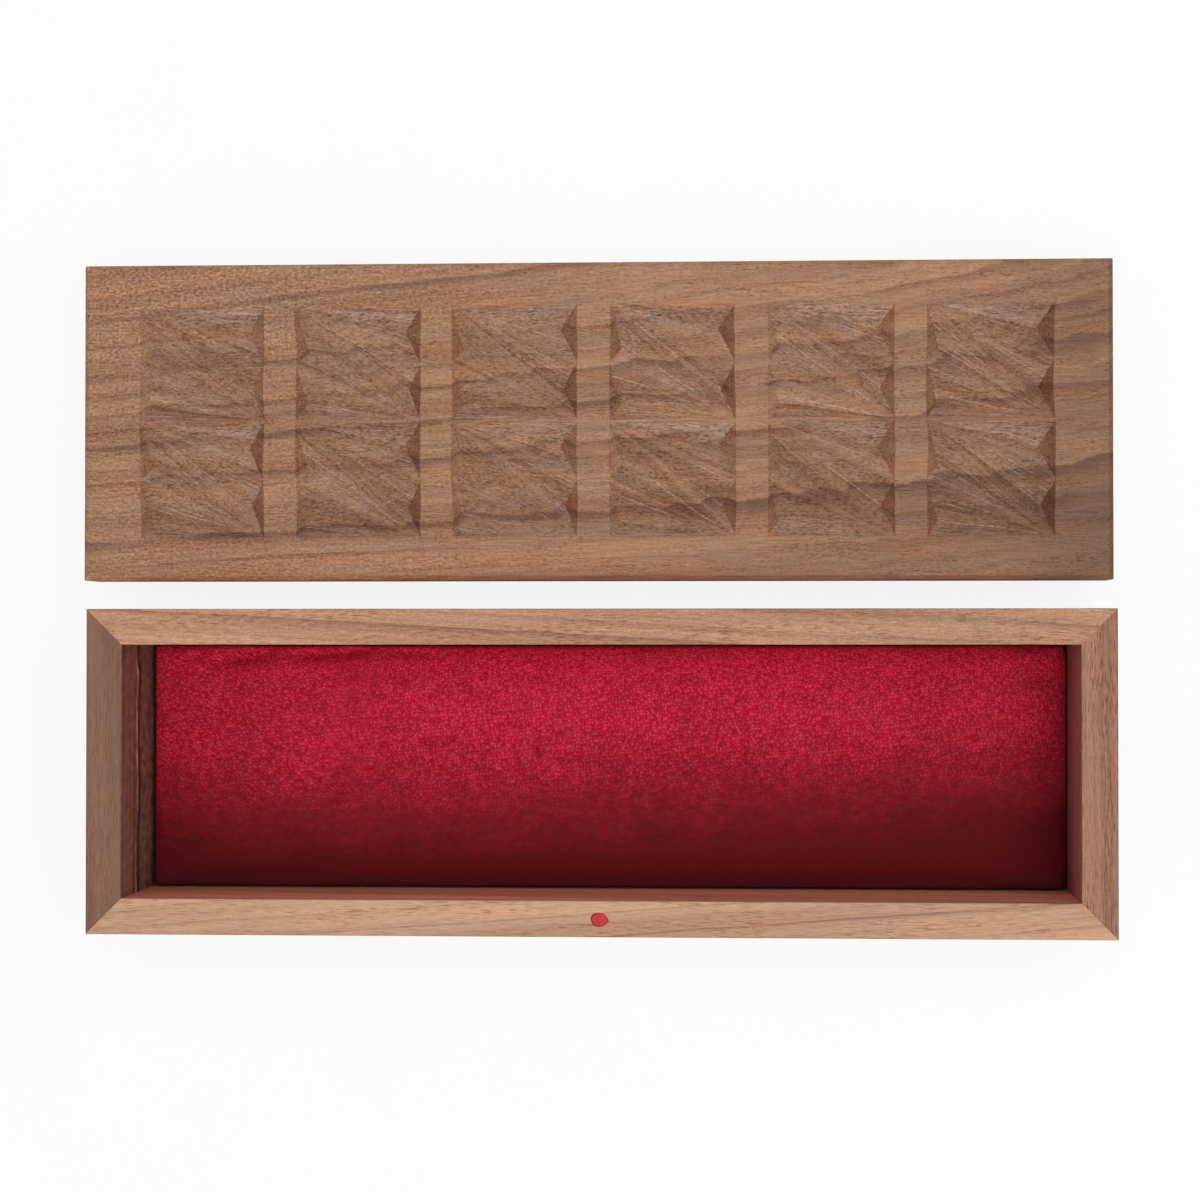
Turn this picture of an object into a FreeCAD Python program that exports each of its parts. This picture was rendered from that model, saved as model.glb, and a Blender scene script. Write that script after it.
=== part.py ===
import FreeCAD, Part
import Sketcher
import os

# A hand-made walnut pen case: a mitred tray with a velvet pad inside, and a chip-carved lid
# lifted off and laid behind it. X runs along the case, +Y points from the tray to the lid and
# +Z is up. The origin is the middle of the tray's underside. All sizes are in millimetres.

DIMENSIONS = {
    # The tray: four mitred walls with a rebate for the base along their lower inner edges.
    "tray_length": 200.0,
    "tray_width": 63.5,
    "tray_height": 36.0,
    "wall_thickness": 7.0,
    "base_thickness": 4.0,
    "rebate_depth": 3.5,
    "base_clearance": 0.2,
    # The pad: a card, a crowned block of foam and the velvet drawn over both.
    "pad_clearance": 0.6,
    "card_thickness": 2.0,
    "pad_edge_height": 7.5,
    "pad_crown_rise": 3.5,
    "pad_edge_round": 2.4,
    "velvet_thickness": 0.9,
    "velvet_slack": 0.1,
    # The lid: a carved board that reaches past the tray's ends, on a lip that drops inside it.
    "lid_thickness": 12.0,
    "lid_end_overhang": 3.8,
    "lid_side_overhang": 0.3,
    "lid_edge_chamfer": 0.9,
    "lip_depth": 5.0,
    "lip_width": 6.0,
    "lip_clearance": 0.4,
    "lip_lead_in": 0.8,
    # Where the lid lies while it is off.
    "lid_gap": 6.0,
    "lid_shift": -2.0,
    # The carving: rows of squares, each of four three-cornered chips that meet in ridges.
    "carving_cell_length": 25.4,
    "carving_cell_width": 23.1,
    "carving_column_gap": 6.4,
    "carving_row_gap": 0.5,
    "carving_end_margin": 10.0,
    "carving_side_margin": 7.5,
    "carving_depth": 2.8,
    "carving_pit_inset": 3.4,
    "carving_ridge_width": 0.3,
    # The red dots that show which way round the lid goes.
    "dot_diameter": 3.2,
    "dot_depth": 0.4,
    # How far a cutting shape stands out past the wood that it cuts.
    "cut_margin": 1.0,
}

doc = FreeCAD.newDocument("pen_case")
sheet = doc.addObject("Spreadsheet::Sheet", "Dims")
for row, (alias, size) in enumerate(DIMENSIONS.items(), start=1):
    sheet.set(f"A{row}", alias)
    sheet.set(f"B{row}", str(size))
    sheet.setAlias(f"B{row}", alias)
doc.recompute()

# Sizes and places that follow from the driving dimensions, as expressions on the sheet.
OPENING_LENGTH = "(Dims.tray_length - 2 * Dims.wall_thickness)"
OPENING_WIDTH = "(Dims.tray_width - 2 * Dims.wall_thickness)"
BASE_LENGTH = f"({OPENING_LENGTH} + 2 * Dims.rebate_depth - 2 * Dims.base_clearance)"
BASE_WIDTH = f"({OPENING_WIDTH} + 2 * Dims.rebate_depth - 2 * Dims.base_clearance)"
PAD_LENGTH = f"({OPENING_LENGTH} - 2 * Dims.pad_clearance)"
PAD_WIDTH = f"({OPENING_WIDTH} - 2 * Dims.pad_clearance)"
LIP_LENGTH = f"({OPENING_LENGTH} - 2 * Dims.lip_clearance)"
LIP_WIDTH = f"({OPENING_WIDTH} - 2 * Dims.lip_clearance)"
LID_LENGTH = "(Dims.tray_length + 2 * Dims.lid_end_overhang)"
LID_WIDTH = "(Dims.tray_width + 2 * Dims.lid_side_overhang)"
LID_Y = f"(Dims.tray_width / 2 + Dims.lid_gap + {LID_WIDTH} / 2)"
DOT_Y = "(-(Dims.tray_width - Dims.wall_thickness) / 2)"

UP = FreeCAD.Vector(0, 0, 1)


def value(expression):
    """The number that an expression on the sheet gives now."""
    return float(sheet.evalExpression(expression))


def new_body(label, x="0", y="0", z="0", turn=0.0):
    """An empty body at a place given by expressions, turned about the vertical by degrees."""
    body = doc.addObject("PartDesign::Body", label)
    body.Placement = FreeCAD.Placement(FreeCAD.Vector(), FreeCAD.Rotation(UP, turn))
    for axis, expression in (("x", x), ("y", y), ("z", z)):
        body.setExpression(f"Placement.Base.{axis}", expression)
    return body


def new_sketch(body, name, role, x="0", y="0", z="0"):
    """A sketch on one of the body's own planes, moved along the sketch's axes and its normal."""
    sketch = body.newObject("Sketcher::SketchObject", f"{body.Label}_{name}")
    plane = next(item for item in body.Origin.OriginFeatures if item.Role == role)
    sketch.AttachmentSupport = [(plane, "")]
    sketch.MapMode = "FlatFace"
    for axis, expression in (("x", x), ("y", y), ("z", z)):
        sketch.setExpression(f"AttachmentOffset.Base.{axis}", expression)
    return sketch


def pin_point(sketch, geometry, end, x, y):
    """Ties one end of a sketch line, or a point or centre, to its place from the sketch's origin."""
    for kind, expression in (("DistanceX", x), ("DistanceY", y)):
        constraint = Sketcher.Constraint(kind, -1, 1, geometry, end, value(expression))
        index = sketch.addConstraint(constraint)
        sketch.setExpression(f"Constraints[{index}]", expression)


def draw_polygon(sketch, corners):
    """A closed outline whose corners are pairs of expressions."""
    points = [FreeCAD.Vector(value(x), value(y), 0) for x, y in corners]
    count = len(points)
    first = sketch.GeometryCount
    for start, end in zip(points, points[1:] + points[:1]):
        sketch.addGeometry(Part.LineSegment(start, end), False)
    for side in range(count):
        following = first + (side + 1) % count
        sketch.addConstraint(Sketcher.Constraint("Coincident", first + side, 2, following, 1))
    for side, (x, y) in enumerate(corners):
        pin_point(sketch, first + side, 1, x, y)


def draw_rectangle(sketch, length, width):
    """A rectangle about the sketch's origin."""
    across, up = f"{length} / 2", f"{width} / 2"
    corners = [(f"-{across}", f"-{up}"), (across, f"-{up}"), (across, up), (f"-{across}", up)]
    draw_polygon(sketch, corners)


def draw_circle(sketch, diameter, x="0", y="0"):
    """A circle at a place from the sketch's origin."""
    centre = FreeCAD.Vector(value(x), value(y), 0)
    circle = Part.Circle(centre, UP, value(diameter) / 2)
    index = sketch.addGeometry(circle, False)
    pin_point(sketch, index, 3, x, y)
    size = sketch.addConstraint(Sketcher.Constraint("Diameter", index, value(diameter)))
    sketch.setExpression(f"Constraints[{size}]", diameter)


def pad(body, sketch, length, name="pad", both_ways=False):
    """Raises a sketch into a solid, along its normal or evenly to both sides."""
    feature = body.newObject("PartDesign::Pad", f"{body.Label}_{name}")
    feature.Profile = sketch
    feature.SideType = "Symmetric" if both_ways else "One side"
    feature.setExpression("Length", length)
    doc.recompute()
    return feature


def pocket(body, sketch, depth, name, upwards=False):
    """Cuts a sketch into the body, against its normal or along it, and checks that it cut."""
    before = body.Shape.Volume
    feature = body.newObject("PartDesign::Pocket", f"{body.Label}_{name}")
    feature.Profile = sketch
    feature.Reversed = upwards
    feature.setExpression("Length", depth)
    doc.recompute()
    if not body.Shape.Volume < before:
        raise RuntimeError(f"{feature.Name} cuts nothing")


def edges_above(feature, level, end):
    """The names of a feature's edges whose lower (ZMin) or upper (ZMax) end lies above a level."""
    edges = enumerate(feature.Shape.Edges, start=1)
    return [f"Edge{index}" for index, edge in edges if getattr(edge.BoundBox, end) > level]


def add_slab(label, length, width, thickness, x="0", y="0", z="0"):
    """A plain rectangular board."""
    body = new_body(label, x, y, z)
    sketch = new_sketch(body, "outline", "XY_Plane")
    draw_rectangle(sketch, length, width)
    pad(body, sketch, thickness)
    return body


def add_mitred_strip(label, section, run, width, height, x, y, turn):
    """A strip milled to a section, outer face at local y = 0, then cut at 45 degrees at both ends."""
    body = new_body(label, x, y, "0", turn)
    profile = new_sketch(body, "section", "YZ_Plane")
    draw_polygon(profile, section)
    pad(body, profile, run, "strip", both_ways=True)
    mitres = new_sketch(body, "mitres", "XY_Plane", z="-Dims.cut_margin")
    far = f"({width} + Dims.cut_margin)"
    for side in ("-", ""):
        outward = f"{side}({run} / 2 + Dims.cut_margin)"
        inward = f"{side}({run} / 2 - {far})"
        draw_polygon(mitres, [(outward, "-Dims.cut_margin"), (inward, far), (outward, far)])
    pocket(body, mitres, f"{height} + 2 * Dims.cut_margin", "mitre", upwards=True)
    return body


def add_frame(names, section, length, width, strip_width, height, x="0", y="0"):
    """Four mitred strips round a rectangle, in the order front, back, left, right."""
    front, back, left, right = names
    places = [
        (front, length, x, f"{y} - {width} / 2", 0.0),
        (back, length, x, f"{y} + {width} / 2", 180.0),
        (left, width, f"{x} - {length} / 2", y, -90.0),
        (right, width, f"{x} + {length} / 2", y, 90.0),
    ]
    return [
        add_mitred_strip(label, section, run, strip_width, height, place_x, place_y, turn)
        for label, run, place_x, place_y, turn in places
    ]


def add_dot(label, x, y, z):
    """A round dab of paint that fills a shallow hollow."""
    body = new_body(label, x, y, z)
    sketch = new_sketch(body, "outline", "XY_Plane")
    draw_circle(sketch, "Dims.dot_diameter")
    pad(body, sketch, "Dims.dot_depth")
    return body


def add_tray_walls():
    """The walls, rebated below for the base. The front one has a hollow for the dot in its rim."""
    shoulder = "(Dims.wall_thickness - Dims.rebate_depth)"
    section = [
        ("0", "0"),
        (shoulder, "0"),
        (shoulder, "Dims.base_thickness"),
        ("Dims.wall_thickness", "Dims.base_thickness"),
        ("Dims.wall_thickness", "Dims.tray_height"),
        ("0", "Dims.tray_height"),
    ]
    walls = add_frame(
        ("front_wall", "back_wall", "left_wall", "right_wall"),
        section,
        "Dims.tray_length",
        "Dims.tray_width",
        "Dims.wall_thickness",
        "Dims.tray_height",
    )
    hollow = new_sketch(walls[0], "dot", "XY_Plane", z="Dims.tray_height")
    draw_circle(hollow, "Dims.dot_diameter", y="Dims.wall_thickness / 2")
    pocket(walls[0], hollow, "Dims.dot_depth", "dot_hollow")
    return walls


def add_crowned_block(label, inset, bottom, round_radius):
    """A block with an arched top and rounded edges, inset all round from the pad's outside."""
    body = new_body(label, z="Dims.base_thickness")
    half = f"({PAD_WIDTH} / 2 - {inset})"
    edge = f"(Dims.pad_edge_height - {inset})"
    rise = "Dims.pad_crown_rise"
    radius = f"(({half} ^ 2 + {rise} ^ 2) / (2 * {rise}))"
    profile = new_sketch(body, "section", "YZ_Plane")
    corners = [(f"-{half}", edge), (f"-{half}", bottom), (half, bottom), (half, edge)]
    points = [FreeCAD.Vector(value(x), value(y), 0) for x, y in corners]
    for start, end in zip(points, points[1:]):
        profile.addGeometry(Part.LineSegment(start, end), False)
    top = FreeCAD.Vector(0, value(f"{edge} + {rise}"), 0)
    arch = profile.addGeometry(Part.Arc(points[-1], top, points[0]), False)
    for line in (0, 1):
        profile.addConstraint(Sketcher.Constraint("Coincident", line, 2, line + 1, 1))
    profile.addConstraint(Sketcher.Constraint("Coincident", 2, 2, arch, 1))
    profile.addConstraint(Sketcher.Constraint("Coincident", arch, 2, 0, 1))
    for line, (x, y) in enumerate(corners[:3]):
        pin_point(profile, line, 1, x, y)
    pin_point(profile, 2, 2, *corners[3])
    size = profile.addConstraint(Sketcher.Constraint("Radius", arch, value(radius)))
    profile.setExpression(f"Constraints[{size}]", radius)
    block = pad(body, profile, f"{PAD_LENGTH} - 2 * {inset}", both_ways=True)
    halfway = value(f"({bottom} + {edge}) / 2")
    rounding = body.newObject("PartDesign::Fillet", f"{label}_rounding")
    rounding.Base = (block, edges_above(block, halfway, "ZMax"))
    rounding.setExpression("Radius", round_radius)
    doc.recompute()
    return body


def add_pad():
    """The card, the foam on it, and the velvet that covers the foam and hides the card's edges."""
    skin = "Dims.velvet_thickness"
    filling = "(Dims.velvet_thickness + Dims.velvet_slack)"
    card = add_slab(
        "pad_card",
        f"({PAD_LENGTH} - 2 * {filling})",
        f"({PAD_WIDTH} - 2 * {filling})",
        "Dims.card_thickness",
        z="Dims.base_thickness",
    )
    inner_round = "max(Dims.pad_edge_round - Dims.velvet_thickness; Dims.velvet_slack)"
    foam = add_crowned_block("pad_foam", filling, "Dims.card_thickness", inner_round)
    outside = add_crowned_block("velvet_outside", "0", "0", "Dims.pad_edge_round")
    inside = add_crowned_block("velvet_inside", skin, "-Dims.cut_margin", inner_round)
    velvet = doc.addObject("Part::Cut", "velvet_cover")
    velvet.Base = outside
    velvet.Tool = inside
    doc.recompute()
    return [card, foam, velvet]


def chip(body, name, corners, pit, cell_x, cell_y):
    """One three-cornered chip cut from the lid's face down to a pit. Ridges of wood are left round it."""
    pit_x, pit_y = pit
    across = "(1 - Dims.carving_pit_inset / Dims.carving_cell_length)"
    keep = f"(1 - 2 * Dims.carving_ridge_width / ({across} * Dims.carving_cell_width))"
    outline = [
        (f"{pit_x} + ({x} - {pit_x}) * {keep}", f"{pit_y} + ({y} - {pit_y}) * {keep}")
        for x, y in corners
    ]
    face = new_sketch(body, f"{name}_outline", "XY_Plane", cell_x, cell_y, "Dims.lid_thickness")
    draw_polygon(face, outline)
    pit_level = "Dims.lid_thickness - Dims.carving_depth"
    point = new_sketch(body, f"{name}_pit", "XY_Plane", cell_x, cell_y, pit_level)
    place = FreeCAD.Vector(value(pit_x), value(pit_y), 0)
    pin_point(point, point.addGeometry(Part.Point(place), False), 1, pit_x, pit_y)
    doc.recompute()
    feature = body.newObject("PartDesign::SubtractiveLoft", f"{body.Label}_{name}")
    feature.Profile = face
    feature.Sections = [(point, ["Vertex1"])]
    feature.Ruled = True
    doc.recompute()
    return face, feature


def carve(body):
    """Squares of chips over the lid. Each square looks the same when it is turned end for end."""
    across, up = "Dims.carving_cell_length / 2", "Dims.carving_cell_width / 2"
    column_pitch = "(Dims.carving_cell_length + Dims.carving_column_gap)"
    row_pitch = "(Dims.carving_cell_width + Dims.carving_row_gap)"
    room_x = f"({LID_LENGTH} - 2 * Dims.carving_end_margin + Dims.carving_column_gap)"
    room_y = f"({LID_WIDTH} - 2 * Dims.carving_side_margin + Dims.carving_row_gap)"
    columns = f"floor({room_x} / {column_pitch})"
    rows = f"floor({room_y} / {row_pitch})"
    cell_x = f"-({columns} - 1) * {column_pitch} / 2"
    cell_y = f"-({rows} - 1) * {row_pitch} / 2"
    back_left = (f"-{across}", up)
    back_right = (across, up)
    front_right = (across, f"-{up}")
    middle_right = (across, "0")
    # A pit lies near the square's side, midway between the two long edges of its chip.
    share = "(1 - Dims.carving_pit_inset / Dims.carving_cell_length)"
    pit_x = f"({across} - Dims.carving_pit_inset)"
    upper_pit = (pit_x, f"({up} - {share} * Dims.carving_cell_width / 4)")
    lower_pit = (pit_x, f"({up} - 3 * {share} * Dims.carving_cell_width / 4)")
    upper_corners = [back_left, back_right, middle_right]
    lower_corners = [back_left, middle_right, front_right]
    upper_sketch, upper = chip(body, "upper_chip", upper_corners, upper_pit, cell_x, cell_y)
    _, lower = chip(body, "lower_chip", lower_corners, lower_pit, cell_x, cell_y)
    half_turn = doc.addObject("PartDesign::PolarPattern", "carving_half_turn")
    half_turn.Axis = (upper_sketch, ["N_Axis"])
    half_turn.Angle = 360.0
    half_turn.Occurrences = 2
    steps = [half_turn]
    for name, role, count, pitch in (
        ("carving_columns", "X_Axis", columns, column_pitch),
        ("carving_rows", "Y_Axis", rows, row_pitch),
    ):
        line = doc.addObject("PartDesign::LinearPattern", name)
        axis = next(item for item in body.Origin.OriginFeatures if item.Role == role)
        line.Direction = (axis, [""])
        line.Mode = "Spacing"
        line.setExpression("Offset", pitch)
        line.setExpression("Occurrences", count)
        steps.append(line)
    carving = body.newObject("PartDesign::MultiTransform", "carving")
    carving.Originals = [upper, lower]
    carving.Transformations = steps
    body.Tip = carving
    doc.recompute()


def add_lid_board():
    """The lid's board: chamfered round its face, carved, with a hollow for the dot underneath."""
    body = new_body("lid_board", "Dims.lid_shift", LID_Y, "Dims.lip_depth")
    outline = new_sketch(body, "outline", "XY_Plane")
    draw_rectangle(outline, LID_LENGTH, LID_WIDTH)
    board = pad(body, outline, "Dims.lid_thickness")
    halfway = value("Dims.lid_thickness / 2")
    chamfer = body.newObject("PartDesign::Chamfer", "lid_board_chamfer")
    chamfer.Base = (board, edges_above(board, halfway, "ZMin"))
    chamfer.setExpression("Size", "Dims.lid_edge_chamfer")
    doc.recompute()
    hollow = new_sketch(body, "dot", "XY_Plane")
    draw_circle(hollow, "Dims.dot_diameter", y=DOT_Y)
    pocket(body, hollow, "Dims.dot_depth", "dot_hollow", upwards=True)
    carve(body)
    return body


def add_lid_lip():
    """Four mitred strips under the lid that drop into the tray, with their lower outer edge eased."""
    section = [
        ("Dims.lip_lead_in", "0"),
        ("Dims.lip_width", "0"),
        ("Dims.lip_width", "Dims.lip_depth"),
        ("0", "Dims.lip_depth"),
        ("0", "Dims.lip_lead_in"),
    ]
    return add_frame(
        ("lip_front", "lip_back", "lip_left", "lip_right"),
        section,
        LIP_LENGTH,
        LIP_WIDTH,
        "Dims.lip_width",
        "Dims.lip_depth",
        "Dims.lid_shift",
        LID_Y,
    )


def write_parts(parts):
    """Checks every object and each sub-part's shape, then writes one file for each sub-part."""
    doc.recompute()
    for item in doc.Objects:
        if "Invalid" in item.State or "Error" in item.State:
            raise RuntimeError(f"{item.Label} failed: {item.State}")
    for part in parts:
        if part.Shape.isNull() or not part.Shape.isValid():
            raise RuntimeError(f"{part.Label} has no valid shape")
    os.makedirs("parts", exist_ok=True)
    for part in parts:
        part.Shape.exportStep(f"parts/{part.Label}.step")
        box = part.Shape.BoundBox
        size = f"{box.XLength:.1f} x {box.YLength:.1f} x {box.ZLength:.1f} mm"
        print(f"{part.Label}: {size}, {part.Shape.Volume / 1000:.2f} cm3")


tray = add_tray_walls()
tray.append(add_slab("base_panel", BASE_LENGTH, BASE_WIDTH, "Dims.base_thickness"))
tray.append(add_dot("alignment_dot", "0", DOT_Y, "Dims.tray_height - Dims.dot_depth"))
cushion = add_pad()
lid = [add_lid_board()]
lid += add_lid_lip()
lid.append(add_dot("lid_dot", "Dims.lid_shift", f"{LID_Y} + {DOT_Y}", "Dims.lip_depth"))
write_parts(tray + cushion + lid)
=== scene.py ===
# %% [markdown]
# # A fountain pen case in walnut
# The case is a mitred walnut tray with a crimson velvet pad, and a chip-carved lid that lies behind it. The
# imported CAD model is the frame: it says where each board is and which of them move together. Every piece
# made here takes its CAD node's place, in metres.

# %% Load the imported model
import math

import bmesh
import bpy
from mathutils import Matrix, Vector


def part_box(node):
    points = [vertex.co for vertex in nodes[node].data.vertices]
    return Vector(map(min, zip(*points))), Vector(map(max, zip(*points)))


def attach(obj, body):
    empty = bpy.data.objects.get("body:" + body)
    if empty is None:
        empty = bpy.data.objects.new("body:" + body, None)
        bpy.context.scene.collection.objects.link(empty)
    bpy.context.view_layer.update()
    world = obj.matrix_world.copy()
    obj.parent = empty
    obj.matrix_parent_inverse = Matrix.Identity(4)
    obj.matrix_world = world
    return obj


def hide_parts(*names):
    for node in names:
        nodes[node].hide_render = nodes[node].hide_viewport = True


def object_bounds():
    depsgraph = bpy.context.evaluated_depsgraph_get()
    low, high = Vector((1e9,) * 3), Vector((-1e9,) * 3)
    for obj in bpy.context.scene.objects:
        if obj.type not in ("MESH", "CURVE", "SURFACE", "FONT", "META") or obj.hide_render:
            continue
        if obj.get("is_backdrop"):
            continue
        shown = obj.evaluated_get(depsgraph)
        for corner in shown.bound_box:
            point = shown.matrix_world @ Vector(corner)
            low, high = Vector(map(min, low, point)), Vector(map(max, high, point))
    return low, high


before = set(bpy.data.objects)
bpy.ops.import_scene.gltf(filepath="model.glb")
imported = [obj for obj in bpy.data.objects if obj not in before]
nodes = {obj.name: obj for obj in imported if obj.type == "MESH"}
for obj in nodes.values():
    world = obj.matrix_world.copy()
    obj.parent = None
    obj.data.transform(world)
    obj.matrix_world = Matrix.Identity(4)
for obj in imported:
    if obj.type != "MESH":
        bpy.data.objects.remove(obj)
cad_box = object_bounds()
scene = bpy.context.scene
MM = 0.001
PER_METRE = 1000.0

# %% [markdown]
# ## Moves that come back
# A piece is shaped, made an object, and sometimes read back as a modifier leaves it. Woodwork also eases
# nearly every edge. These moves come back all the time, so each is written once.


# %% Helpers for objects and meshes
def add_object(name, data):
    made = bpy.data.objects.new(name, data)
    scene.collection.objects.link(made)
    return made


def mesh_from(work, name):
    """Writes worked geometry to a new mesh and lets go of the work."""
    mesh = bpy.data.meshes.new(name)
    work.to_mesh(mesh)
    work.free()
    return mesh


def evaluated_mesh(item):
    """A copy of an object's mesh as its modifiers leave it."""
    graph = bpy.context.evaluated_depsgraph_get()
    return bpy.data.meshes.new_from_object(item.evaluated_get(graph), depsgraph=graph)


def cuboid(size, centre):
    work = bmesh.new()
    bmesh.ops.create_cube(work, size=1.0)
    bmesh.ops.scale(work, vec=size, verts=work.verts)
    bmesh.ops.translate(work, vec=centre, verts=work.verts)
    return work


def ease(work, edges, width, steps=2, clamp=False):
    bmesh.ops.bevel(
        work, geom=edges, offset=width, segments=steps, profile=0.5, affect="EDGES", clamp_overlap=clamp,
    )


print("five moves are ready")

# %% [markdown]
# ## The camera
# The photograph looks almost straight down through a long lens, which keeps the long sides nearly parallel.
# The place and the small tilt were found by matching the outer corners of lid and tray.

# %% Camera
lens = bpy.data.cameras.new("overhead_camera")
lens.sensor_width = 36.0
lens.lens = 77.02
lens.shift_x = -0.03
lens.shift_y = 0.0025
lens.clip_start = 0.01
lens.clip_end = 50.0
camera = add_object("overhead_camera", lens)
camera.location = (0.0342, 0.0251, 0.5314)
camera.rotation_euler = (math.radians(0.89), math.radians(3.071), 0.0)
scene.camera = camera
scene.view_settings.view_transform = "Standard"
print("camera at", tuple(camera.location))

# %% [markdown]
# ## Sums with sockets
# A finish is a sum of patterns. This small class holds one output socket, so that `1 - mask` in Python adds
# the Math node for it. Colours go through Mix, because Math would turn them grey, and every other node
# comes from the one method `node`. The Geometry Nodes tree of the lid uses it too.


# %% A socket that can be used in sums
class Socket:
    """An output socket of a node tree."""

    def __init__(self, tree, output):
        self.tree = tree
        self.output = output

    def node(self, kind, sockets=None, output=0, **settings):
        """Adds a node, by default a shader node. A socket takes a value, a link or a list of links."""
        made = self.tree.nodes.new(kind if "Node" in kind else "ShaderNode" + kind)
        for key, value in settings.items():
            setattr(made, key, value)
        for key, value in (sockets or {}).items():
            if not isinstance(value, (Socket, list)):
                made.inputs[key].default_value = value
                continue
            for link in value if isinstance(value, list) else [value]:
                self.tree.links.new(link.output, made.inputs[key])
        return Socket(self.tree, made.outputs[output]) if made.outputs else None

    def math(self, operation, *terms):
        return self.node("Math", dict(enumerate(terms)), operation=operation)

    def vector(self, operation, *terms):
        return self.node("VectorMath", dict(enumerate(terms)), operation=operation)

    def scaled(self, size):
        """This vector times one number or socket."""
        return self.node("VectorMath", {0: self, "Scale": size}, operation="SCALE")

    def __add__(self, other):
        return self.math("ADD", self, other)

    __radd__ = __add__

    def __sub__(self, other):
        return self.math("SUBTRACT", self, other)

    def __rsub__(self, other):
        return self.math("SUBTRACT", other, self)

    def __mul__(self, other):
        return self.math("MULTIPLY", self, other)

    __rmul__ = __mul__

    def __pow__(self, other):
        return self.math("POWER", self, other)

    def __abs__(self):
        return self.math("ABSOLUTE", self)

    def larger(self, other):
        return self.math("MAXIMUM", self, other)

    def ramp(self, low, high, start=0.0, end=1.0):
        """Runs smoothly from start to end as the value runs from low to high."""
        sockets = {0: self, 1: low, 2: high, 3: start, 4: end}
        return self.node("MapRange", sockets, interpolation_type="SMOOTHSTEP")

    def parts(self):
        split = self.tree.nodes.new("ShaderNodeSeparateXYZ")
        self.tree.links.new(self.output, split.inputs[0])
        return [Socket(self.tree, out) for out in split.outputs]

    def noise(self, scale, detail=1.0):
        """Noise from 0 to 1, with one scale or a scale for each axis."""
        scales = scale if isinstance(scale, tuple) else (scale,) * 3
        sockets = {"Vector": self.vector("MULTIPLY", self, scales), "Scale": 1.0, "Detail": detail}
        return self.node("TexNoise", sockets)

    def swing(self, scale, detail=1.0):
        """Noise about zero."""
        return self.noise(scale, detail) - 0.5

    def mix(self, factor, first, second, how="MIX"):
        """A Mix of two colours. A socket that holds one number counts as a grey."""
        sockets = {0: factor, 6: first, 7: second}
        return self.node("Mix", sockets, 2, data_type="RGBA", blend_type=how)


def new_finish(name):
    """A new material, and the socket of its Object coordinates."""
    material = bpy.data.materials.new(name)
    material.use_nodes = True
    material.node_tree.nodes.clear()
    place = material.node_tree.nodes.new("ShaderNodeTexCoord")
    return material, Socket(material.node_tree, place.outputs["Object"])


def close_finish(here, colour, roughness, height, depth, **constants):
    """Ends a finish in a Principled shader, with a bump of the given depth in metres."""
    bump = here.node("Bump", {"Strength": 1.0, "Distance": depth, "Height": height})
    sockets = {"Base Color": colour, "Roughness": roughness, "Normal": bump}
    shader = here.node("BsdfPrincipled", {**sockets, **constants})
    here.node("OutputMaterial", {"Surface": shader})


def rgb(red, green, blue):
    """A screen colour, from 0 to 255, made linear for a socket."""
    shares = [c / 255.0 for c in (red, green, blue)]
    return tuple(c / 12.92 if c < 0.04045 else ((c + 0.055) / 1.055) ** 2.4 for c in shares) + (1.0,)


WHITE = (1.0, 1.0, 1.0, 1.0)
print("walnut tan in linear light:", rgb(185, 145, 110))

# %% [markdown]
# ## Floor and light
# The case stands on white paper in an even white room, under one large soft lamp a little to the right. They
# make about one unit of light on a level surface, so that a colour renders as it is written. To the camera
# the floor is mostly plain white, which keeps the background bright. The rest is paper, which keeps the
# shadow. Its back is clear, for views from below.

# %% Floor, room and lamp
FLOOR_HALF = 6.0
FLOOR_LEVEL = -0.02 * MM
ROOM_LEVEL = 0.42
PLAIN_WHITE = 0.86
LAMP_AT, LAMP_AIM = Vector((0.25, 0.02, 1.3)), Vector((0.0, 0.03, 0.0))
LAMP_SIDE, LAMP_WATTS = 1.1, 11.6

floor_mesh = bpy.data.meshes.new("floor")
signs = ((-1, -1), (1, -1), (1, 1), (-1, 1))
floor_mesh.from_pydata([(x * FLOOR_HALF, y * FLOOR_HALF, FLOOR_LEVEL) for x, y in signs], [], [(0, 1, 2, 3)])
floor = add_object("floor", floor_mesh)
floor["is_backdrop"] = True

paper, spot = new_finish("white_paper")
seen, mirrored, through = (
    spot.node("LightPath", None, "Is %s Ray" % kind) for kind in ("Camera", "Glossy", "Transmission")
)
sheet_colour = spot.mix(spot.noise(40.0, 2.0), rgb(244, 244, 244), rgb(250, 250, 250))
diffuse = spot.node("BsdfDiffuse", {"Color": sheet_colour})
bright = spot.node("Emission", {"Color": WHITE, "Strength": 1.0})
share = (seen + mirrored + through) * PLAIN_WHITE
front = spot.node("MixShader", {0: share, 1: diffuse, 2: bright})
behind = spot.node("NewGeometry", None, "Backfacing")
clear = spot.node("BsdfTransparent")
both = spot.node("MixShader", {0: behind, 1: front, 2: clear})
spot.node("OutputMaterial", {"Surface": both})
floor_mesh.materials.append(paper)

room = bpy.data.worlds.new("white_room")
room.use_nodes = True
room.node_tree.nodes.clear()
rays = room.node_tree.nodes.new("ShaderNodeLightPath")
direct = Socket(room.node_tree, rays.outputs["Is Camera Ray"])
dim = direct.node("Background", {"Color": WHITE, "Strength": ROOM_LEVEL})
white = direct.node("Background", {"Color": WHITE, "Strength": 1.0})
lit = direct.node("MixShader", {0: direct, 1: dim, 2: white})
direct.node("OutputWorld", {"Surface": lit})
scene.world = room

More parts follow.
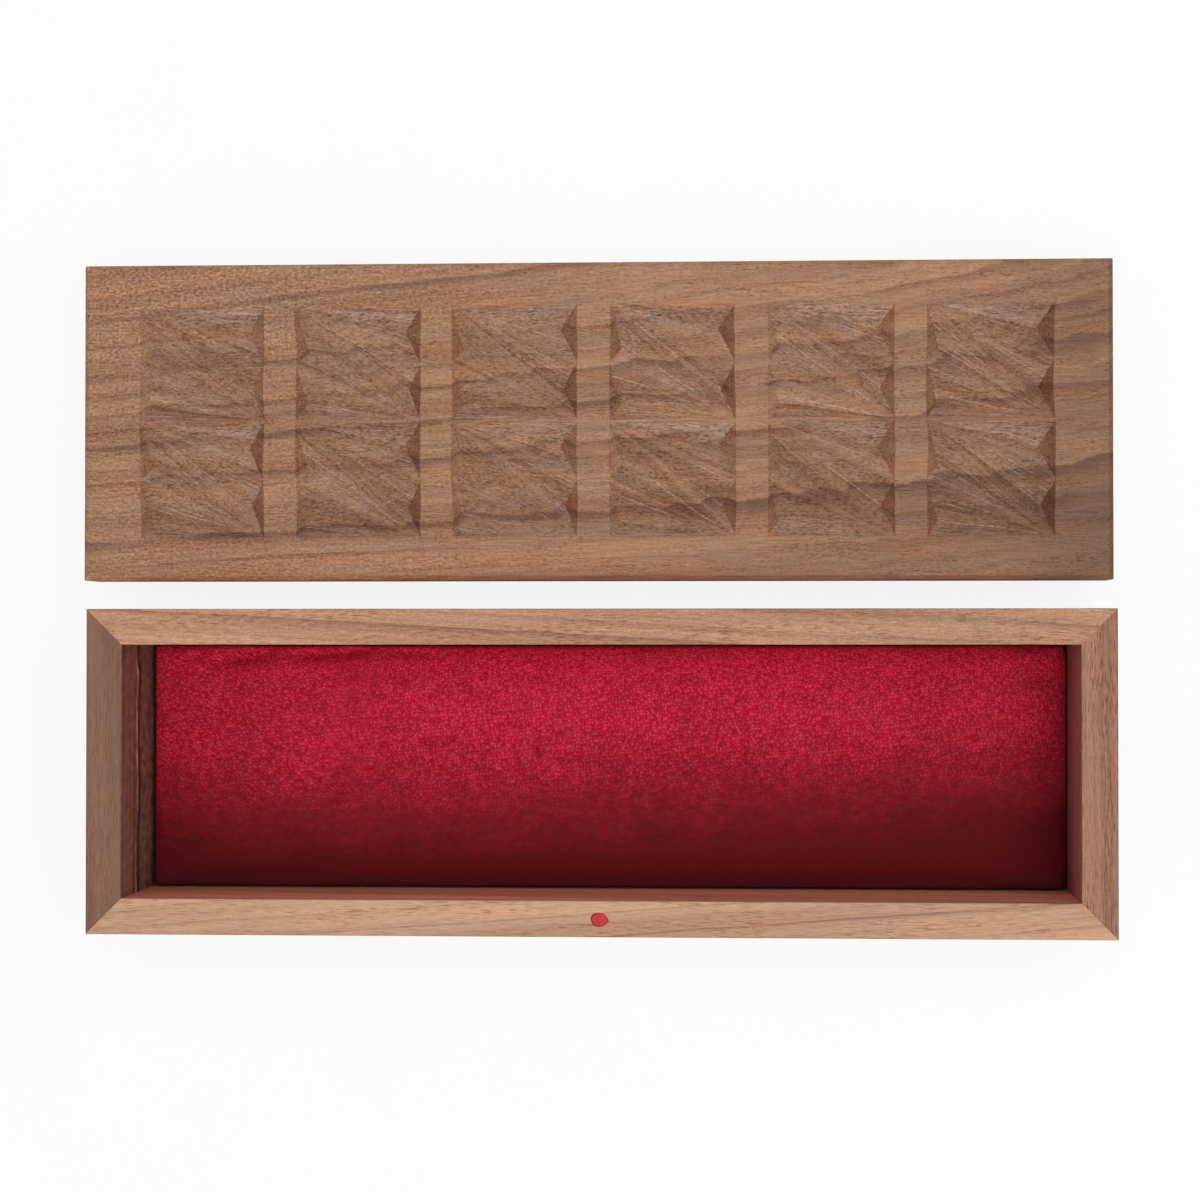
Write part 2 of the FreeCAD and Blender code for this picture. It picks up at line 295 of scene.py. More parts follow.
lamp = bpy.data.lights.new("window_lamp", "AREA")
lamp.shape = "SQUARE"
lamp.size = LAMP_SIDE
lamp.energy = LAMP_WATTS
holder = add_object("window_lamp", lamp)
holder.location = LAMP_AT
holder.rotation_euler = (LAMP_AIM - LAMP_AT).to_track_quat("-Z", "Y").to_euler()
holder.visible_camera = False
print("stage: floor, room and one lamp")

# %% [markdown]
# ## Walnut, layer by layer
# Walnut has dark growth lines along the board, fine fibres and short open pores. The lines are sheets in the
# round, so the pattern is made in three dimensions: where the knife cuts below the face they jog sideways,
# as on the real lid. The fibres run along X, and faces that cut across them drink more oil and are darker;
# those towards the board's left end are darkened sooner, which is painted shade.

# %% Wood: directions, paint and stain
RIM, LID_FACE = 36.0, 17.0
PORE_BROWN = rgb(83, 47, 27)
GREEN_POWER, BLUE_POWER = 1.34, 1.69
DARKEST = 0.05
GRAIN_DEPTH = 0.1 * MM


class Wood:
    """A finish in the making, in millimetres. Each method adds a layer."""

    def __init__(self, name, shift, turn=0.0, fine=1.0):
        self.material, self.here = new_finish(name)
        self.fine = fine
        sockets = {"Vector": self.here, "Location": shift, "Rotation": (0.0, 0.0, turn)}
        sockets["Scale"] = (PER_METRE,) * 3
        self.point = self.here.node("Mapping", sockets, vector_type="POINT")
        self.along, self.across, self.up = self.point.parts()
        self.normal = self.here.node("NewGeometry", None, "Normal")
        sockets = {0: self.normal, 1: (math.cos(turn), -math.sin(turn), 0.0)}
        facing = self.here.node("VectorMath", sockets, "Value", operation="DOT_PRODUCT")
        # End grain is darker; faces towards the board's left end darken sooner, which is painted shade.
        self.end_grain_and_painted_shade = (0.0 - facing).ramp(0.3, 0.6).larger(facing.ramp(0.55, 1.0))

    def paint(self, share, colour):
        self.colour = self.here.mix(share, self.colour, colour)

    def stain(self, share, tint):
        """Multiplies the colour by a tint."""
        self.paint(share, self.here.mix(1.0, self.colour, tint, "MULTIPLY"))

    def close(self, pore_strength):
        """Ends the finish. Grain takes more of the green and the blue than of the red."""
        shade = self.shade.larger(DARKEST)
        channels = {0: shade, 1: shade ** GREEN_POWER, 2: shade ** BLUE_POWER}
        self.stain(1.0, self.here.node("CombineXYZ", channels))
        self.stain(1.0, self.level)
        self.paint(self.pore * pore_strength, PORE_BROWN)
        shine = {"Specular IOR Level": 0.35}
        close_finish(self.here, self.colour, self.roughness, self.height, GRAIN_DEPTH, **shine)
        print("finish:", self.material.name)
        return self.material


# %% [markdown]
# ## Growth lines, fibres and pores
# One number, `ring`, says how far a point lies across the growth sheets, which slope, sway and grow wilder
# to the right. Each line is dark, with a sharp and a soft side, and fades here and there. Pores are thin
# tubes along the board: dashes on a long face and dots on end grain.

# %% Walnut: growth lines, base colours, fibres and pores
# Noise scales are in turns per millimetre: along the fibres, across them and up.
SWAY, JOG, FADE = (0.022, 0.06, 0.09), (0.11, 0.25, 0.3), (0.03, 0.2, 0.2)
BAND, PATCH, CROWD = (0.006, 0.16, 0.02), (0.045, 0.3, 0.3), (0.05, 0.3, 0.3)
STREAK, WEAVE = (0.02, 1.1, 0.15), (1.5, 2.0, 2.0)
END_GRAIN_AND_SHADE_TINT = rgb(234, 218, 209)
WARM_TINT, COOL_TINT = (1.1, 0.98, 0.84, 1.0), (0.9, 0.96, 1.06, 1.0)


class Walnut(Wood):
    def growth(self, lines, slope=0.0, rise=0.0, spread=0.0, dip=0.0, wave=2.0, strength=1.0):
        """Draws lines along the sheets, each by its place, sharp side, soft side and weight."""
        along = self.along
        bend = (along * slope + along.ramp(150.0, 222.0, 0.0, rise)) * (1.0 + self.across * spread)
        wild = along.ramp(80.0, 200.0, 0.35, 1.3)
        ring = self.across - bend + self.up * dip + self.point.swing(SWAY, 2.0) * wave
        ring = ring + self.point.swing(JOG, 2.0) * wild * wave
        narrow = along.ramp(60.0, 200.0, 0.8, 0.5)
        crisp = along.ramp(80.0, 200.0, 0.72, 0.6)
        drawn = ring * 0.0
        for place, sharp, soft, weight in lines:
            off = (ring - place) * self.fine
            core = off.ramp(-0.55, -0.1) * crisp
            halo = (off * narrow).ramp(-soft, 0.0) ** 1.5 * 0.72
            drawn = drawn.larger(core.larger(halo) * off.ramp(0.0, sharp, 1.0, 0.0) * weight)
        self.fade = self.point.noise(FADE, 2.0).ramp(0.3, 0.6, 0.3, 1.0)
        self.drawn = drawn * self.fade * strength
        self.sheet = self.here.node("CombineXYZ", {0: along, 1: ring, 2: self.up})

    def colours(self, light, middle, dark, patches=0.5, lift=0.0):
        """Bands of two browns with warm and cool patches, then the growth lines, and the end grain with
        painted shade.
        """
        band = self.sheet.noise(BAND, 2.0).ramp(0.32, 0.68)
        self.colour = self.here.mix(band, rgb(*light), rgb(*middle))
        hue = self.point.noise(PATCH, 2.0)
        self.stain(hue.ramp(0.5, 0.72, 0.0, patches), WARM_TINT)
        self.stain(hue.ramp(0.5, 0.3, 0.0, patches), COOL_TINT)
        self.paint(self.drawn, rgb(*dark))
        self.stain(self.end_grain_and_painted_shade, END_GRAIN_AND_SHADE_TINT)
        self.level = 1.0 + self.along.ramp(40.0, -60.0, 0.0, lift)

    def fibres(self, pores=(0.95, 4.6, 0.55), grain=1.0, streaks=0.55, curl=0.0):
        """Pores are given by their scale along and across, and by the noise level at which they start."""
        point, fine = self.point, self.fine
        streak = self.sheet.swing(STREAK, 3.0)
        fibre = point.swing((0.2 * fine, 3.2 * fine, 3.2 * fine), 2.0)
        self.weave = point.swing(WEAVE, 2.0)
        fine_pore = point.noise((pores[0], pores[1], pores[1])).ramp(pores[2], 0.72)
        long_pore = point.noise((0.4, 2.7 * fine, 2.7 * fine)).ramp(0.62, 0.73)
        self.pore = fine_pore.larger(long_pore * 0.9) * point.noise(CROWD).ramp(0.35, 0.65, 0.25, 1.0)
        self.shade = 1.0 + (streak * streaks + fibre * 0.75) * grain + self.weave * curl
        self.roughness = 0.64 + fibre * 0.12 + self.pore * 0.12
        self.height = fibre * 0.3 - self.pore * 0.6


print("wood and walnut can be mixed")

# %% [markdown]
# ## The look of knife cuts
# A knife leaves its own marks. Pale scratches run along the fans of the carving, each facet has its own
# tone, facets that face front or back get a painted sheen, and the pores that the blade opened show as
# specks. A map called `fan`, with the number of a ray and how far out along it a point lies, lets all this
# follow the cuts.

# %% Walnut: the carved lid
COLUMN_STEP, ROW_STEP = 31.8, 23.6
RAYS = 12
FIELD_MIDDLE, FIELD_HALF_LENGTH, FIELD_HALF_WIDTH = 104.0, 92.6, 23.8
FIELD_LEFT = FIELD_MIDDLE - 3.0 * COLUMN_STEP


class CarvedWalnut(Walnut):
    def lot(self, seed):
        return self.here.node("TexWhiteNoise", {"W": seed}, noise_dimensions="1D")

    def knife_lines(self):
        """Pale lines along the fans, a mask of the top facet, and a tone for each facet and strip."""
        ray, reach, _ = self.here.node("UVMap", uv_map="fan").parts()
        nearest = ray.math("ROUND", ray)
        away = abs(ray - nearest) * reach
        column = ray.math("FLOOR", (self.along - FIELD_LEFT) * (1.0 / COLUMN_STEP))
        row = ray.math("FLOOR", (self.across + ROW_STEP) * (1.0 / ROW_STEP))
        seed = nearest * 1.913 + column * 7.31 + row * 3.77
        started = (reach - self.lot(seed + 0.37) * 0.6).ramp(0.0, 0.2)
        stroke = self.lot(seed).ramp(0.42, 1.0) * started
        ridge = 1.0 - nearest.math("MINIMUM", nearest.math("MODULO", nearest, RAYS), 1.0)
        broken = self.here.noise(250.0, 2.0).ramp(0.3, 0.5)
        pale = away.ramp(0.03, 0.2, 1.0, 0.0) * stroke.larger(ridge * 0.8) * broken
        square = column * 5.3 + row * 11.9
        facet = ray.math("FLOOR", ray * (2.0 / RAYS)) * 2.17 + square
        strip = ray.math("FLOOR", ray * 0.5) * 3.19 + square + 0.53
        tone = (self.lot(facet) - 0.5) * 0.18 + (self.lot(strip) - 0.5) * 0.28
        return pale, ray.ramp(6.5, 6.0), tone

    def facets(self):
        """Facets that face front or back get a painted sheen, with specks, dashes and pale knife lines."""
        point, along, across = self.point, self.along, self.across
        _, toward_back, toward_top = self.normal.parts()
        face_up = toward_top.ramp(0.1, 0.4)
        field = abs(along - FIELD_MIDDLE).ramp(FIELD_HALF_LENGTH, FIELD_HALF_LENGTH - 0.25)
        field = field * abs(across).ramp(FIELD_HALF_WIDTH, FIELD_HALF_WIDTH - 0.2)
        cut = (0.0 - self.up).ramp(0.04, 0.3) * field * face_up
        pale, top_facet, facet_tone = self.knife_lines()
        pale = pale * cut
        painted_sheen_patches = point.noise((0.1, 0.22, 0.22), 2.0).ramp(0.5, 0.66)
        # Painted sheen: facets that face the front are painted lighter and silvery, most of all the top
        # facet.
        lean_painted_light = cut * toward_back.ramp(0.05, -0.3) * (0.12 + top_facet * 0.7 + painted_sheen_patches * 0.4)
        # Painted sheen on facets that face the back.
        away = cut * toward_back.ramp(0.05, 0.25) * (0.2 + painted_sheen_patches * 0.5)
        self.paint(lean_painted_light * 0.6, rgb(178, 143, 122))
        self.paint(away * 0.6, rgb(172, 140, 124))
        self.paint(pale * 0.55, rgb(206, 172, 148))
        speck = point.noise((1.1, 2.8, 2.8), 2.0)
        dash = point.noise((0.5, 2.5, 2.5)).ramp(0.59, 0.68) * lean_painted_light
        self.pore = (self.pore * 0.8).larger(speck.ramp(0.58, 0.72) * cut * 0.8).larger(dash)
        curly = self.weave * along.ramp(125.0, 15.0, 0.35, 1.25) * across.ramp(0.0, 26.0, 1.0, 1.5)
        marks = cut * ((speck - 0.5) * 1.6 + facet_tone)
        self.shade = self.shade + curly * (1.0 - cut * 0.6) * face_up + marks
        self.level = self.level * (1.0 - cut * 0.1)
        self.roughness = self.roughness + cut * 0.1
        self.height = self.height + pale * 0.5

    def edges(self):
        """Darker to the right and front right. Chamfers: painted light at front and left, painted shade at
        right.
        """
        along, across, up = self.along, self.across, self.up
        toward_back = self.normal.parts()[1]
        darkening_to_right = along.ramp(180.0, 204.0, 0.0, 0.2)
        darkening_to_right = darkening_to_right + along.ramp(110.0, 205.0) * across.ramp(4.0, -24.0, 0.0, 0.28)
        # Painted shade on the right chamfer.
        right_chamfer_painted_shade = along.ramp(206.7, 206.95) * up.ramp(-1.3, -0.9, 0.0, 0.2)
        self.level = self.level * (1.0 - darkening_to_right) * (1.0 - right_chamfer_painted_shade)
        tint = self.here.mix(along.ramp(50.0, 75.0), (1.35, 1.15, 1.08, 1.0), (1.2, 1.05, 0.98, 1.0))
        # Painted light on the front chamfer.
        front_chamfer_painted_light = across.ramp(-30.6, -31.0) * toward_back.ramp(-0.2, -0.4) * up.ramp(-1.6, -1.1)
        self.stain(front_chamfer_painted_light, tint)
        # Painted light on the left chamfer.
        self.stain(along.ramp(1.2, 1.05) * up.ramp(-1.3, -0.9), (1.28, 1.4, 1.5, 1.0))


print("half of the carved field:", FIELD_HALF_LENGTH, FIELD_HALF_WIDTH)

# %% [markdown]
# ## Inside the tray
# The inner faces of the walls get a painted reflection, the red light of the velvet, and painted shade
# towards the bottom. The left wall also shows the glue: a dark groove with a pale bead along it, and torn
# wood below.

# %% Walnut: the tray's inner faces
INNER_END, INNER_SIDE, SOFTLY = 93.3 * MM, 25.05 * MM, 0.2 * MM


class TrayWalnut(Walnut):
    def inside(self, tint, bottom_painted_shade=0.0):
        to_end, to_side, _ = (abs(part) for part in self.here.parts())
        within = to_end.ramp(INNER_END, INNER_END - SOFTLY)
        self.within = within * to_side.ramp(INNER_SIDE, INNER_SIDE - SOFTLY)
        # Painted light inside the tray: the red light of the velvet, as a tint on the inner faces.
        self.stain(self.within * self.up.ramp(-0.3, -5.0), tint)
        # Painted shade: darker towards the bottom of the inner faces.
        self.level = self.level * (1.0 - self.within * self.up.ramp(-9.0, -21.0, 0.0, bottom_painted_shade))

    def seam(self, height):
        """A wandering glued seam at a height, with stripes above it and torn wood below."""
        point = self.point
        off = self.up - height + point.swing((0.09, 0.09, 0.05), 4.0) * 6.0
        torn = point.swing((0.55, 0.55, 0.3), 3.0) * off.ramp(0.2, -0.6, 1.2, 2.0)
        stripe = point.swing((0.02, 0.02, 1.3), 2.0) * off.ramp(-0.4, 0.3, 0.4, 2.0)
        self.shade = self.shade + (torn + stripe) * self.within
        groove = off.ramp(-3.6, -0.2) * off.ramp(0.0, 0.4, 1.0, 0.0) * self.within
        bead = off.ramp(0.2, 0.7) * off.ramp(1.3, 1.8, 1.0, 0.0) * self.within
        bead = bead * self.fade.ramp(0.4, 0.9) * point.noise(0.3, 3.0).ramp(0.4, 0.55, 0.15, 0.85)
        self.paint(groove * 0.85, rgb(44, 24, 19))
        self.paint(bead, rgb(206, 164, 146))


print("inner faces at", INNER_END, "and", INNER_SIDE)

# %% [markdown]
# ## The six boards
# Every board came from a different place in the plank, so each has its own lines, colours and grain. The
# lines on the lid and on the front and back rims lie where the photograph shows them.

# %% Walnut: the finishes
# Growth lines: place at the board's left end, sharp side, soft side, weight.
LID_LINES = [
    (34.0, 0.3, 1.4, 0.35), (20.8, 0.35, 1.6, 0.85), (14.8, 0.3, 1.0, 0.3), (8.9, 0.3, 1.5, 0.65),
    (4.6, 0.3, 1.2, 0.5), (0.8, 0.35, 1.6, 0.85), (-2.0, 0.25, 0.8, 0.5), (-5.2, 0.4, 2.0, 0.95),
    (-9.8, 0.3, 1.0, 0.35), (-12.7, 0.4, 1.6, 0.85), (-15.0, 0.2, 0.7, 0.3), (-19.5, 0.3, 1.0, 0.3),
    (-24.9, 0.45, 2.4, 0.95), (-29.6, 0.3, 1.2, 0.55), (-33.5, 0.3, 1.2, 0.4),
]
FRONT_LINES = [
    (4.6, 0.3, 1.2, 0.3), (0.85, 0.3, 0.9, 0.75), (-3.5, 0.3, 0.9, 0.85), (-6.4, 0.3, 1.0, 0.4),
    (-8.2, 0.3, 1.0, 0.5), (-12.6, 0.3, 2.0, 0.8), (-16.0, 0.3, 1.2, 0.6), (-20.2, 0.3, 1.6, 0.7),
]
BACK_LINES = [
    (6.4, 0.3, 2.0, 0.9), (2.1, 0.3, 2.4, 0.7), (-0.7, 0.3, 2.0, 1.0), (-4.4, 0.3, 1.2, 0.5),
    (-8.6, 0.3, 1.6, 0.7), (-13.2, 0.3, 2.0, 0.8), (-17.5, 0.3, 1.2, 0.6), (-21.4, 0.3, 1.6, 0.7),
]
WALL_LINES = [
    (5.2, 0.3, 1.6, 0.5), (1.6, 0.3, 1.2, 0.45), (-2.2, 0.2, 1.0, 0.4), (-6.0, 0.3, 1.6, 0.6),
    (-9.4, 0.3, 1.4, 0.6), (-11.6, 0.2, 0.9, 0.4), (-15.2, 0.3, 2.0, 0.75), (-18.4, 0.3, 1.2, 0.5),
    (-22.5, 0.3, 1.6, 0.6),
]
QUARTER_TURN = math.radians(90.0)

wood = CarvedWalnut("carved_lid_walnut", (106.0, -69.8, -LID_FACE))
wood.growth(LID_LINES, slope=0.08, rise=2.3, spread=0.012, dip=0.7, wave=2.4, strength=0.9)
wood.colours((176, 131, 98), (157, 114, 86), (91, 50, 39), patches=0.9)
wood.fibres()
wood.facets()
wood.edges()
lid_wood = wood.close(0.6)

wood = TrayWalnut("front_wall_walnut", (0.0, 28.0, -RIM), fine=1.8)
wood.growth(FRONT_LINES, slope=0.075, dip=0.45, wave=1.2)
wood.colours((209, 164, 131), (184, 141, 112), (118, 80, 62))
wood.fibres((0.18, 4.6, 0.6), grain=0.9, streaks=0.4, curl=0.1)
# Each wall's inside tint is painted reflection of the velvet's red light and painted shade.
wood.inside((1.4, 0.98, 0.97, 1.0))
front_wood = wood.close(0.36)

wood = TrayWalnut("back_wall_walnut", (31.0, -29.0, -RIM), fine=1.8)
wood.growth(BACK_LINES, slope=-0.055, dip=0.6, wave=1.2, strength=0.75)
wood.colours((192, 144, 112), (175, 129, 100), (112, 76, 58), lift=0.12)
wood.fibres((0.35, 4.4, 0.58), grain=1.2, streaks=0.5, curl=0.6)
wood.inside((0.95, 0.86, 0.84, 1.0))
back_wood = wood.close(0.45)

wood = TrayWalnut("left_wall_walnut", (57.0, -96.0, -RIM), QUARTER_TURN, fine=1.6)
wood.growth(WALL_LINES, slope=0.03, dip=0.5, wave=2.5, strength=0.6)
wood.colours((138, 99, 77), (122, 85, 66), (66, 40, 32))
wood.fibres((0.22, 3.6, 0.55), grain=0.8, streaks=0.45)
wood.inside((1.03, 0.93, 1.08, 1.0))
wood.seam(-13.5)
left_wood = wood.close(0.25)

wood = TrayWalnut("right_wall_walnut", (11.0, 96.0, -RIM), -QUARTER_TURN, fine=1.6)
wood.growth(WALL_LINES, slope=0.02, dip=0.5, wave=2.5, strength=0.6)
wood.colours((171, 123, 96), (153, 108, 84), (90, 62, 50))
wood.fibres((0.3, 4.2, 0.57), grain=1.4, curl=0.3)
# This wall also gets painted shade towards the bottom.
wood.inside((1.35, 1.02, 1.28, 1.0), bottom_painted_shade=0.5)
right_wood = wood.close(0.6)

wood = Walnut("inside_walnut", (80.0, 4.0, 3.0))
wood.growth(LID_LINES, slope=0.03, dip=0.7, wave=4.0, strength=0.7)
wood.colours((166, 124, 94), (146, 107, 82), (88, 60, 48))
wood.fibres()
plain_wood = wood.close(0.6)

# %% [markdown]
# ## The tray's walls and the lid's lip strips
# These are planed boards with 45 degree mitres. No worked wood is as sharp as a CAD edge, so each board is a
# merged copy of its node with its long edges eased by a quarter of a millimetre. The mitres stay sharp,
# because there two boards meet in one crisp line. The pocket for the paint dot is closed: the paint sits on
# the wood.

# %% Eased boards
EASE = 0.25 * MM
WELD = 0.001 * MM
FLAT = math.radians(1.0)
SHARP = 0.5
POCKET_REACH = 2.2 * MM
DOT_AT = Vector((0.0, -28.25 * MM, 35.8 * MM))


def link_piece(name, mesh, finish, slot, body, *stands_for):
    """A finished mesh as a piece that rides on a body in place of its CAD nodes."""
    mesh.materials.clear()
    mesh.materials.append(finish)
    piece = add_object(name, mesh)
    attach(piece, body)
    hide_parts(*stands_for)
    return piece


def is_mitre(face):
    """True for a face that leans in both directions."""
    return abs(face.normal.x) > 0.3 and abs(face.normal.y) > 0.3


def merge_flat(work):
    bmesh.ops.dissolve_limit(work, angle_limit=FLAT, verts=work.verts, edges=work.edges)


def close_pocket(work, centre):
    """Takes out the small round pocket at a point and closes the face over it."""
    inside = [f for f in work.faces if (f.calc_center_median() - centre).length < POCKET_REACH]
    bmesh.ops.delete(work, geom=inside, context="FACES")
    rim = [e for e in work.edges if e.is_boundary]
    bmesh.ops.holes_fill(work, edges=rim)


def sharp_edges(work):
    return [e for e in work.edges if e.is_manifold and e.calc_face_angle() > SHARP]


def eased_board(node, pocket=None):
    work = bmesh.new()
    work.from_mesh(nodes[node].data)
    bmesh.ops.remove_doubles(work, verts=work.verts, dist=WELD)
    merge_flat(work)
    if pocket is not None:
        close_pocket(work, pocket)
        merge_flat(work)
    work.normal_update()
    edges = [e for e in sharp_edges(work) if not any(is_mitre(f) for f in e.link_faces)]
    ease(work, edges, EASE, clamp=True)
    bmesh.ops.triangulate(work, faces=work.faces)
    return mesh_from(work, node + "_eased")


walls = [
    ("front_wall", front_wood, DOT_AT), ("back_wall", back_wood, None),
    ("left_wall", left_wood, None), ("right_wall", right_wood, None),
]
for node, finish, pocket in walls:
    mesh = eased_board(node, pocket)
    link_piece("tray_" + node, mesh, finish, "walnut", "tray", node)
    print(node, len(mesh.polygons), "triangles")
for node in ("lip_front", "lip_back", "lip_left", "lip_right"):
    mesh = eased_board(node)
    link_piece("lid_" + node, mesh, plain_wood, "walnut", "lid", node)
    print(node, len(mesh.polygons), "triangles")
nodes["base_panel"].data.materials.clear()
nodes["base_panel"].data.materials.append(plain_wood)

# %% [markdown]
# ## The carved lid
# Chip carving takes triangular chips out of a board: three sloping cuts meet in a pit. Each square holds
# four chips, whose long edges run to two opposite corners, so it reads as two fans of facets. It is modelled
# once, in narrow strips that run to the fan's corner as the knife did. Geometry Nodes then set it on a grid
# of six by two and weld it into the board.

# %% One carved square
CELL_LENGTH, CELL_WIDTH = 25.4 * MM, 23.3 * MM
COLUMN_PITCH, ROW_PITCH = COLUMN_STEP * MM, ROW_STEP * MM
COLUMNS, ROWS = 6, 2
PIT_DEPTH = 2.4 * MM
STRIPS, STEPS = 6, 16
SECOND_FAN = 8 * RAYS


def at(u, v, depth=0.0):
    """A point of the square: u from left to right, v from front to back."""
    return Vector(((u - 0.5) * CELL_LENGTH, (v - 0.5) * CELL_WIDTH, -depth))


TOP_LEFT, TOP_RIGHT, BOTTOM_LEFT, BOTTOM_RIGHT = at(0, 1), at(1, 1), at(0, 0), at(1, 0)
MIDDLE_LEFT, MIDDLE_RIGHT = at(0, 0.5), at(1, 0.5)
PIT_A, PIT_B = at(0.865, 0.79, PIT_DEPTH), at(0.89, 0.28, PIT_DEPTH)
PIT_C, PIT_D = at(0.092, 0.62, PIT_DEPTH), at(0.088, 0.15, PIT_DEPTH)


square = bmesh.new()
fan = square.loops.layers.uv.new("fan")


def add_face(corners, places):
    """A face whose corners know the number of their ray in the fan, and how far out along it they lie."""
    face = square.faces.new([square.verts.new(c) for c in corners])
    for loop, place in zip(face.loops, places):
        loop[fan].uv = place


def add_fan(corner, outer, first_ray):
    """Strips from one corner of the square to a run of outer points."""
    ends = []
    for first, second in zip(outer, outer[1:]):
        ends += [first.lerp(second, i / STRIPS) for i in range(STRIPS)]
    ends.append(outer[-1])
    for k, (one, two) in enumerate(zip(ends, ends[1:])):
        ray = first_ray + k
        for step in range(STEPS):
            t, n = step / STEPS, (step + 1) / STEPS
            corners = [corner.lerp(one, t), corner.lerp(one, n), corner.lerp(two, n), corner.lerp(two, t)]
            places = [(ray, t), (ray, n), (ray + 1, n), (ray + 1, t)]
            if step == 0:
                corners, places = corners[:3], places[:3]
            add_face(corners, places)


def add_end(pit, first, second):
    """The steep end facet of a chip, between its pit and the side of the square."""
    def place(i, j):
        return pit + (first - pit) * (i / STRIPS) + (second - pit) * (j / STRIPS)

    off_ray = [(0.5, 1.0)] * 3
    for i in range(STRIPS):
        for j in range(STRIPS - i):
            add_face([place(i, j), place(i + 1, j), place(i, j + 1)], off_ray)
            if i + j < STRIPS - 1:
                add_face([place(i + 1, j), place(i + 1, j + 1), place(i, j + 1)], off_ray)


add_fan(TOP_LEFT, [TOP_RIGHT, PIT_A, MIDDLE_RIGHT, PIT_B, BOTTOM_RIGHT], 0)
add_fan(BOTTOM_RIGHT, [BOTTOM_LEFT, PIT_D, MIDDLE_LEFT, PIT_C, TOP_LEFT], SECOND_FAN)
for pit, first, second in (
    (PIT_A, TOP_RIGHT, MIDDLE_RIGHT), (PIT_B, MIDDLE_RIGHT, BOTTOM_RIGHT),
    (PIT_C, MIDDLE_LEFT, TOP_LEFT), (PIT_D, BOTTOM_LEFT, MIDDLE_LEFT),
):
    add_end(pit, first, second)
bmesh.ops.remove_doubles(square, verts=square.verts, dist=WELD)
bmesh.ops.triangulate(square, faces=square.faces)
for face in square.faces:
    if face.normal.z < 0.0:
        face.normal_flip()
carved_square = add_object("carved_square", mesh_from(square, "carved_square"))
print("one square:", len(carved_square.data.polygons), "facets and strips")

# %% [markdown]
# The board is flat, with a narrow chamfer round its face. The face is left open where the squares go, and
# its edges there have the same points as the sides of a square, so that the two can be welded.

# %% The board with twelve openings
CHAMFER = 0.9 * MM
CHAMFER_EASE = 0.18 * MM
GRID_KEY = 1e7
lid_low, lid_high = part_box("lid_board")
lid_centre = (lid_low + lid_high) / 2.0


def cuts(low, high, centre, count, pitch, size):
    """Where the face is divided along one axis: at its ends and at both sides of each square."""
    found = [low]
    for index in range(count):
        middle = centre + (index - (count - 1) / 2.0) * pitch
        found += [middle - size / 2.0, middle + size / 2.0]
    return found + [high]


face_x = cuts(lid_low.x + CHAMFER, lid_high.x - CHAMFER, lid_centre.x, COLUMNS, COLUMN_PITCH, CELL_LENGTH)
face_y = cuts(lid_low.y + CHAMFER, lid_high.y - CHAMFER, lid_centre.y, ROWS, ROW_PITCH, CELL_WIDTH)
board_work = bmesh.new()
points = {}


def board_point(x, y, z):
    key = (round(x * GRID_KEY), round(y * GRID_KEY), round(z * GRID_KEY))
    if key not in points:
        points[key] = board_work.verts.new((x, y, z))
    return points[key]


def is_square(i, j):
    """True where a carved square goes: at every second place both ways."""
    return i in range(1, len(face_x) - 1, 2) and j in range(1, len(face_y) - 1, 2)


def run(start, end, pieces):
    """The points from start up to, not including, end."""
    return [start.lerp(end, k / pieces) for k in range(pieces)]


for i in range(len(face_x) - 1):
    for j in range(len(face_y) - 1):
        if is_square(i, j):
            continue
        x0, x1, y0, y1 = face_x[i], face_x[i + 1], face_y[j], face_y[j + 1]
        corners = [Vector((x, y, lid_high.z)) for x, y in ((x0, y0), (x1, y0), (x1, y1), (x0, y1))]
        beside = [is_square(i, j - 1), is_square(i + 1, j), is_square(i, j + 1), is_square(i - 1, j)]
        outline = []
        for side in range(4):
            count = (STEPS, 2 * STRIPS)[side % 2] if beside[side] else 1
            outline += run(corners[side], corners[(side + 1) % 4], count)
        board_work.faces.new([board_point(*p) for p in outline])


def level(points_x, points_y, z):
    """The points of a level outline, anticlockwise from the front left corner."""
    front = [(x, points_y[0], z) for x in points_x[:-1]]
    right = [(points_x[-1], y, z) for y in points_y[:-1]]
    back = [(x, points_y[-1], z) for x in reversed(points_x[1:])]
    left = [(points_x[0], y, z) for y in reversed(points_y[1:])]
    return [board_point(*p) for p in front + right + back + left]


side_x = [lid_low.x] + face_x[1:-1] + [lid_high.x]
side_y = [lid_low.y] + face_y[1:-1] + [lid_high.y]
levels = [
    level(side_x, side_y, lid_low.z),
    level(side_x, side_y, lid_high.z - CHAMFER),
    level(face_x, face_y, lid_high.z),
]
for lower, upper in zip(levels, levels[1:]):
    for k in range(len(lower)):
        n = (k + 1) % len(lower)
        board_work.faces.new([lower[k], lower[n], upper[n], upper[k]])
board_work.faces.new(list(reversed(levels[0])))
board_work.normal_update()
ease(board_work, sharp_edges(board_work), CHAMFER_EASE, clamp=True)
bmesh.ops.triangulate(board_work, faces=board_work.faces)
lid_blank = add_object("lid_blank", mesh_from(board_work, "lid_blank"))
print("lid blank:", len(lid_blank.data.polygons), "triangles")

# %% [markdown]
# The tree below does the repeating. Its inputs are the sizes of the grid and how far the hand wanders: a
# smooth noise moves the cuts sideways a little and makes some pits deeper than others. It stops at the
# border of the field, so the outline of the board stays true.

